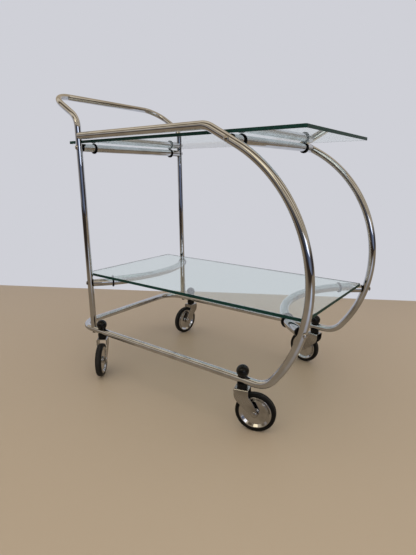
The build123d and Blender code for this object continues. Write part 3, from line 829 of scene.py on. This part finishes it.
def fork_grid():
    """Grid (back, across, up) of a fork: station + outward * half a sheet, as wide as the outline.

    The section is a square with round corners. Its corners move out to the outline's two sides and
    keep their radius, so that only its flats stretch.
    """
    middle = fork_stations()
    along = unit(np.gradient(middle, axis=0))
    outward = np.stack((along[:, 1], -along[:, 0]), -1)
    front = np.interp(middle[:, 1], front_side[:, 1], front_side[:, 0])[:, None]
    rear = np.interp(middle[:, 1], rear_side[:, 1], rear_side[:, 0])[:, None]
    square = [(0, -1), (1, -1), (1, 1), (-1, 1), (-1, -1), (0, -1)]
    back, out = rounded(square, [EDGE_ROUND] * 4, 18)[:-1].T
    inset = np.sign(back) * np.minimum(1 - np.abs(back), EDGE_ROUND)
    stretched = np.sign(back) * (rear - front) / 2 - inset
    at_edge = np.abs(back) > 0.99 - EDGE_ROUND
    wide = (rear + front) / 2 + np.where(at_edge, stretched, back)
    thick = out * SHEET / 2
    across, up = middle[:, :1] + outward[:, :1] * thick, middle[:, 1:] + outward[:, 1:] * thick
    return np.stack((wide, across, up), -1)


def on_castor(corner, local):
    """Castor coordinates (back along the trail, across, up) turned about the stem of a corner."""
    end, side = corner.split("_")
    turn = radians(TURNS[corner])
    axes = np.array(((cos(turn), sin(turn), 0), (-sin(turn), cos(turn), 0), (0, 0, 1)))
    return np.asarray(local, float) @ axes + (STEM_X[end], SIDE_Y[side], 0), axes


FORK = fork_grid()
for corner in TURNS:
    rows, _ = on_castor(corner, FORK)
    node = f"{corner}_fork"
    sheet = [skin(rows, flat=False)]
    piece(f"{node}_sheet", sheet, [chrome_fork], f"{corner}_swivel", [node])

# %% [markdown]
# ## Tyre rubber
# Tyres are moulded black rubber, greyer and rougher on the tread: partly dust that they pick up from
# the floor, partly a painted highlight along the tread. Noise alone would spread the grey everywhere,
# so it is held to the tread by the UV map, whose second coordinate is the distance along the tyre's
# profile in millimetres. The grain of the rubber is drawn coarser than it is, so that it shows.

# %% Tyre finish
TREAD_START, TREAD_END, TREAD_FADE = 20, 36, 6
SMOOTH = {"interpolation_type": "SMOOTHSTEP"}
black_tyre, tree = new_finish("moulded_tyre_rubber_dust_and_highlight")
place = add(tree, "TexCoord")
run = add(tree, "SeparateXYZ", {"Vector": (place, "UV")})
tread = add(tree, "MapRange", {"Value": (run, "Y"), "From Min": TREAD_START,
                               "From Max": TREAD_START + TREAD_FADE}, **SMOOTH)
tread_end = add(tree, "MapRange", {"Value": (run, "Y"), "From Min": TREAD_END,
                                   "From Max": TREAD_END - TREAD_FADE}, **SMOOTH)
# Band on the tread: grey partly from dust and partly as a painted highlight.
dust_and_highlight = add(tree, "Math", {0: (tread, "Result"), 1: (tread_end, "Result")}, operation="MULTIPLY")
dust = add(tree, "TexNoise", {"Vector": (place, "Object"), "Scale": every(9), "Detail": 8,
                              "Roughness": 0.7})
amount = add(tree, "Math", {0: (dust_and_highlight, "Value"), 1: (dust, "Fac"), 2: 0.12},
             operation="MULTIPLY_ADD")
tint = add(tree, "ValToRGB", {"Fac": (amount, "Value")}, stops=[(0.1, "#060606"), (0.8, "#2b2927")])
gloss = add(tree, "MapRange", {"Value": (amount, "Value"), "To Min": 0.42, "To Max": 0.85})
grain = add(tree, "TexNoise", {"Vector": (place, "Object"), "Scale": every(0.7), "Detail": 3})
grained = add(tree, "Bump", {"Height": (grain, "Fac"), "Strength": 0.3, "Distance": 0.0003})
shader = add(tree, "BsdfPrincipled", {"Base Color": (tint, "Color"), "Roughness": (gloss, "Result"),
                                      "Specular IOR Level": 0.2, "Normal": (grained, "Normal")})
add(tree, "OutputMaterial", {"Surface": (shader, "BSDF")})
print("finish:", black_tyre.name)

# %% [markdown]
# ## Wheels
# The wheel is pressed metal: a boss, a flat face, a groove, and a slope up to the rolled bead that
# holds the tyre. The axle is a pin with a domed head on each leg of the fork. All three are turned
# about the axle, so half a profile is drawn and mirrored, which keeps both sides alike.

# %% Profiles of axle, wheel and tyre
PIN_R, PIN_SEAT = 4, 15.55
BEAD = np.array(((37.4, 7.5), (39.2, 8.2), (41, 6.9)))


def arc_through(first, middle, last, steps):
    """Points of the circle through three points.

    Its centre is as far from each of them, which gives two linear equations.
    """
    chords = np.array((middle - first, last - first))
    squares = np.array((middle @ middle - first @ first, last @ last - first @ first))
    centre = np.linalg.solve(2 * chords, squares)
    start, stop = first - centre, last - centre
    angle = np.linspace(np.arctan2(start[1], start[0]), np.arctan2(stop[1], stop[0]), steps)
    return centre + np.linalg.norm(start) * np.stack((np.cos(angle), np.sin(angle)), -1)


pin = rounded([
    (PIN_R, 0), (PIN_R, PIN_SEAT), (HEAD_R, PIN_SEAT), (HEAD_R, PIN_SEAT + 0.9),
], [0.05, 0.25], 20)[:-1]
half_pin = np.vstack((pin, dome(HEAD_R, PIN_SEAT + 0.5, PIN_SEAT + 2.5)))
PIN_LINE = np.vstack((half_pin[:0:-1] * (1, -1), half_pin))

face = rounded([
    (6.05, 0), (6.05, 9), (10, 9), (10, 5), (30, 5), (30, 3.6), (32.2, 3.6), BEAD[0],
], [0.3, 0.8, 1.2, 0.5, 0.4, 1.2], 12)[:-1]
channel = np.array(((41, 6.2), (41, 6), (37, 6), (37, 0)))
half_wheel = np.vstack((face, arc_through(*BEAD, 20), channel))
wheel = np.vstack((half_wheel[::-1] * (1, -1), half_wheel[1:]))
WHEEL_LINE = np.vstack((wheel, wheel[:1]))[::-1]

half_tyre = rounded([
    (37.1, 0), (37.1, 5.9), (41.1, 5.9), (41.1, TYRE_HALF), (WHEEL_R, TYRE_HALF),
    (WHEEL_R, 0.5), (WHEEL_R - 0.25, 0),
], [0.2, 0.2, 0.6, SHOULDER, 0.2], 12)
TYRE_LINE = np.vstack((half_tyre, half_tyre[-2::-1] * (1, -1)))[::-1]
print("profile points:", len(PIN_LINE), len(WHEEL_LINE), len(TYRE_LINE))

# %% Axles, wheels and tyres
# Pressed and plated: a mirror a little duller and wavier than the tube's.
chrome_wheel = plated("chrome_plate_pressed_wheel", "#bfbfc0", "#a5a4a4", 0.03, 0.1, 0.06, 0.05)
for corner in TURNS:
    hub, axes = on_castor(corner, (TRAIL, 0, WHEEL_R))
    fork, rolling = f"{corner}_swivel", f"{corner}_wheel"
    axle, disc, tyre = f"{corner}_axle", f"{corner}_wheel_disc", f"{corner}_tyre"
    pin = knob(PIN_LINE, hub, axes[1], 48)
    piece(f"{axle}_pin", [pin], [chrome_wheel], fork, [axle])
    pressing = hoop(WHEEL_LINE, hub, axes[1], 120)
    piece(f"{rolling}_pressing", [pressing], [chrome_wheel], rolling, [disc])
    rubber = hoop(TYRE_LINE, hub, axes[1], 120)
    piece(f"{tyre}_ring", [rubber], [black_tyre], rolling, [tyre])

# %% [markdown]
# ## Inner steel
# The spigot, the foot plugs, the stems and the bushes sit inside other pieces. They could be drawn
# again, but hardly show, so they stay as the solids that they are, in plain turned steel, grey and
# a little uneven from the tool.

# %% Inner steel
turned_steel, tree = new_finish("turned_steel_oiled")
place = add(tree, "TexCoord")
marks = add(tree, "TexNoise", {"Vector": (place, "Object"), "Scale": every(3), "Detail": 6})
tint = add(tree, "ValToRGB", {"Fac": (marks, "Fac")}, stops=[(0.3, "#7e7b76"), (0.7, "#a5a29c")])
gloss = add(tree, "MapRange", {"Value": (marks, "Fac"), "To Min": 0.25, "To Max": 0.5})
tooled = add(tree, "Bump", {"Height": (marks, "Fac"), "Strength": 0.2, "Distance": 0.0003})
shader = add(tree, "BsdfPrincipled", {"Base Color": (tint, "Color"), "Metallic": 1,
                                      "Roughness": (gloss, "Result"), "Normal": (tooled, "Normal")})
add(tree, "OutputMaterial", {"Surface": (shader, "BSDF")})
inner = ["rear_joint_spigot", "upright_foot_plugs"]
inner += [f"{corner}_{part}" for corner in TURNS for part in ("stem", "hub_bush")]
for name in inner:
    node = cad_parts[name]
    node.data.materials.clear()
    node.data.materials.append(turned_steel)
print("kept as solids:", len(inner))

# %% [markdown]
# ## Stage
# The trolley stands on a plain light tan floor before a plain cool backdrop. Both are single faces.
# Light Path tells what a ray is for, so a stage can be one thing to the camera, another to a
# mirror, and a third to the light that falls on the trolley.

# %% Stage helpers


def stage_plane(name, corners, finish):
    """One flat four-sided sheet in metres, for the stage."""
    mesh = bpy.data.meshes.new(name)
    mesh.from_pydata(corners, [], [(0, 1, 2, 3)])
    mesh.materials.append(finish)
    made = bpy.data.objects.new(name, mesh)
    bpy.context.scene.collection.objects.link(made)
    print("stage:", name)


def seen_ray(tree):
    """1 for what is seen directly, in a mirror or through glass, and 0 for light on the trolley."""
    ray = add(tree, "LightPath")
    mirror = add(tree, "Math", {0: (ray, "Is Camera Ray"), 1: (ray, "Is Glossy Ray")},
                 operation="MAXIMUM")
    return add(tree, "Math", {0: (mirror, "Value"), 1: (ray, "Is Transmission Ray")},
               operation="MAXIMUM")


def mirror_ray(tree):
    """1 for what a mirror shows, and 0 for what is seen directly or through glass.

    A ray through glass counts as glossy too, so transmission is taken off.
    """
    ray = add(tree, "LightPath")
    return add(tree, "Math", {0: (ray, "Is Glossy Ray"), 1: (ray, "Is Transmission Ray")},
               operation="SUBTRACT", use_clamp=True)


print("stage helpers: stage_plane, seen_ray, mirror_ray")

# %% [markdown]
# The floor is matt paint and keeps the shadow of the trolley. Mirrors could see that paint too, but
# it makes the undersides of the tubes all one tone. So they see a glow there instead: warm, with
# one cool streak of sheen, and darker far out on the right.

# %% Floor
FLOOR_HALF = 7
floor_finish, tree = new_finish("stage_floor_matt")
place = add(tree, "TexCoord")
streak = add(tree, "Mapping", {
    "Vector": (place, "Object"), "Location": (1.7, -0.9, 0), "Rotation": (0, 0, radians(-25)),
    "Scale": (1.5, 0.6, 1),
}, vector_type="TEXTURE")
reach = add(tree, "VectorMath", {0: (streak, "Vector")}, operation="LENGTH")
sheen = add(tree, "ValToRGB", {"Fac": (reach, "Value")},
            stops=[(0.25, "#d9e2f5"), (1.0, "#94846f")])
near = add(tree, "SeparateXYZ", {"Vector": (place, "Object")})
dim = add(tree, "MapRange", {"Value": (near, "Y"), "From Min": -1.2, "From Max": -2.2})
mirrored = add(tree, "Mix", {"Factor_Float": (dim, "Result"), "A_Color": (sheen, "Color"),
                             "B_Color": linear("#3a312a")}, data_type="RGBA")
glow = add(tree, "Emission", {"Color": (mirrored, "Result_Color")})
paint = add(tree, "BsdfPrincipled", {"Base Color": linear("#b4a189"), "Roughness": 0.5})
shown = add(tree, "MixShader", {0: (mirror_ray(tree), "Value"), 1: (paint, "BSDF"),
                                2: (glow, "Emission")})
add(tree, "OutputMaterial", {"Surface": (shown, "Shader")})
stage_plane("stage_floor", [
    (-FLOOR_HALF, -FLOOR_HALF, 0), (FLOOR_HALF, -FLOOR_HALF, 0),
    (FLOOR_HALF, FLOOR_HALF, 0), (-FLOOR_HALF, FLOOR_HALF, 0),
], floor_finish)

# %% [markdown]
# The backdrop stands at an angle to the trolley. It shows only its front, so that it never hides
# the trolley from another side, and its colour is the same all over. Mirrors see it turn warm
# towards the top.

# %% Backdrop
BACKDROP, BACKDROP_TOP = "#cfd0d7", 2.4
wall_finish, tree = new_finish("stage_wall_matt")
behind = add(tree, "NewGeometry")
place = add(tree, "TexCoord")
level = add(tree, "SeparateXYZ", {"Vector": (place, "Object")})
height = add(tree, "MapRange", {"Value": (level, "Z"), "From Min": 0, "From Max": BACKDROP_TOP})
mirrored = add(tree, "ValToRGB", {"Fac": (height, "Result")},
               stops=[(0.4, BACKDROP), (0.62, "#c0ae94")])
tint = add(tree, "Mix", {"Factor_Float": (mirror_ray(tree), "Value"), "A_Color": linear(BACKDROP),
                         "B_Color": (mirrored, "Color")}, data_type="RGBA")
pale = add(tree, "Emission", {"Color": (tint, "Result_Color")})
paint = add(tree, "BsdfDiffuse", {"Color": linear("#dcdce0")})
front = add(tree, "MixShader", {0: (seen_ray(tree), "Value"), 1: (paint, "BSDF"),
                                2: (pale, "Emission")})
clear = add(tree, "BsdfTransparent")
one_sided = add(tree, "MixShader", {0: (behind, "Backfacing"), 1: (front, "Shader"),
                                    2: (clear, "BSDF")})
add(tree, "OutputMaterial", {"Surface": (one_sided, "Shader")})
origin, way = np.array((-1.5445, 0.1258)), unit(np.array((1.943, 1.074)))
left, right = origin - 5 * way, origin + 2.5 * way
stage_plane("stage_wall", [
    (*left, 0), (*right, 0), (*right, BACKDROP_TOP), (*left, BACKDROP_TOP),
], wall_finish)

# %% [markdown]
# ## Surroundings
# Chrome has no colour of its own: it shows what is round it. An even studio would leave it flat and
# grey, so mirrors see a plain room of this scene's own: sides that change from pale to dim blue and
# brown, under a warm roof in stripes.

# %% What mirrors see
STRIPE_WAY, STRIPE_RATE, ROOF_START = (-0.484, 0.875, 0), 5.5, 0.25
world = bpy.data.worlds.new("soft_room")
bpy.context.scene.world = world
world.use_nodes = True
tree = world.node_tree
tree.nodes.clear()
place = add(tree, "TexCoord")
way_out = add(tree, "SeparateXYZ", {"Vector": (place, "Generated")})
bearing = add(tree, "Math", {0: (way_out, "Y"), 1: (way_out, "X")}, operation="ARCTAN2")
turn = add(tree, "MapRange", {"Value": (bearing, "Value"), "From Min": -np.pi, "From Max": np.pi})
sides = add(tree, "ValToRGB", {"Fac": (turn, "Result")}, stops=[
    (0.00, "#b8b4b2"), (0.12, "#b0a7a0"), (0.19, "#757170"), (0.25, "#3d414b"), (0.33, "#4a546c"),
    (0.40, "#8a96b2"), (0.48, "#63626d"), (0.54, "#38322d"), (0.64, "#3d3630"), (0.70, "#b8b4b2"),
])
across = add(tree, "VectorMath", {0: (place, "Generated"), 1: STRIPE_WAY}, operation="DOT_PRODUCT")
above = add(tree, "Math", {0: (way_out, "Z"), 1: ROOF_START}, operation="MAXIMUM")
over = add(tree, "Math", {0: (across, "Value"), 1: (above, "Value")}, operation="DIVIDE")
rate = add(tree, "Math", {0: (over, "Value"), 1: STRIPE_RATE}, operation="MULTIPLY")
wave = add(tree, "Math", {0: (rate, "Value")}, operation="SINE")
stripe = add(tree, "MapRange", {"Value": (wave, "Value"), "From Min": -0.9, "From Max": 0.5},
             **SMOOTH)
roof = add(tree, "ValToRGB", {"Fac": (stripe, "Result")},
           stops=[(0.0, "#6f604d"), (1.0, "#e8d9c0")])
lift = add(tree, "MapRange", {"Value": (way_out, "Z"), "From Min": 0.1, "From Max": 0.3}, **SMOOTH)
room = add(tree, "Mix", {"Factor_Float": (lift, "Result"), "A_Color": (sides, "Color"),
                         "B_Color": (roof, "Color")}, data_type="RGBA")
print("mirrors see", len(sides.color_ramp.elements), "tones round the sides")

# %% [markdown]
# The light on the trolley comes from an even pale sky, so that colours stay as they are written.
# Seen directly, the surroundings have the colour of the backdrop, so that it has no edge in any
# view.

# %% Sky
sky = add(tree, "ValToRGB", {"Fac": (way_out, "Z")}, stops=[(0.0, "#eeecea"), (0.6, "#fbfaf8")])
plain = add(tree, "Mix", {"Factor_Float": (seen_ray(tree), "Value"), "A_Color": (sky, "Color"),
                          "B_Color": linear(BACKDROP)}, data_type="RGBA")
shown = add(tree, "Mix", {"Factor_Float": (mirror_ray(tree), "Value"),
                          "A_Color": (plain, "Result_Color"),
                          "B_Color": (room, "Result_Color")}, data_type="RGBA")
glow = add(tree, "Background", {"Color": (shown, "Result_Color"), "Strength": 1.0})
add(tree, "OutputWorld", {"Surface": (glow, "Background")})
print("world:", world.name)

# %% [markdown]
# ## Lamps
# Three soft boxes give shadow and sparkle: a warm one high on the right, a cool one low in front,
# and a large one overhead that mirrors don't show. Point lamps would be simpler, but chrome shows a
# lamp's shape, and a wide soft one draws a clean highlight.

# %% Lamps
AIM = Vector((0, 0, 0.45))


def soft_box(name, place, size, watts, colour):
    """A flat soft light at a place, of a width and height, aimed at the middle of the trolley."""
    data = bpy.data.lights.new(name, "AREA")
    data.shape, data.energy, data.color = "RECTANGLE", watts, linear(colour)[:3]
    data.size, data.size_y = size
    made = bpy.data.objects.new(name, data)
    bpy.context.scene.collection.objects.link(made)
    made.location, made.rotation_mode = place, "QUATERNION"
    made.rotation_quaternion = (AIM - Vector(place)).to_track_quat("-Z", "Y")
    made.visible_camera = False
    print("lamp:", name, watts, "W")
    return made


soft_box("warm_skylight", (0.25, -2.9, 2.4), (1.2, 1.0), 5, "#fff1cc")
soft_box("cool_window", (2.84, -1.84, 1.1), (1.7, 0.6), 5.5, "#e9f0ff")
overhead = soft_box("ceiling_panel", (0.3, -0.4, 3.2), (2.8, 2.8), 9, "#fffaf2")
overhead.visible_glossy = False

# %% [markdown]
# ## Camera
# Place, direction and focal length come from one fit to points of the frame, the glass and the
# wheels in the photograph. Moving a camera by eye would trade one of them for another. The lens
# follows from the focal length in pixels, for a picture 555 pixels high.

# %% Camera
FOCAL_PIXELS, PICTURE_HEIGHT, SENSOR = 409.2, 555, 36
DOWN, HEADING = 14.15, 36.70
camera = bpy.data.cameras.new("photo_camera")
camera.sensor_fit, camera.sensor_height = "VERTICAL", SENSOR
camera.lens = FOCAL_PIXELS / PICTURE_HEIGHT * SENSOR
camera.clip_start = 0.01
eye = bpy.data.objects.new("photo_camera", camera)
bpy.context.scene.collection.objects.link(eye)
eye.location = (0.7289, -0.9600, 0.6060)
eye.rotation_euler = (radians(90 - DOWN), 0, radians(HEADING))
bpy.context.scene.camera = eye
bpy.context.scene.view_settings.view_transform = "Standard"
print(f"lens {camera.lens:.2f} mm")
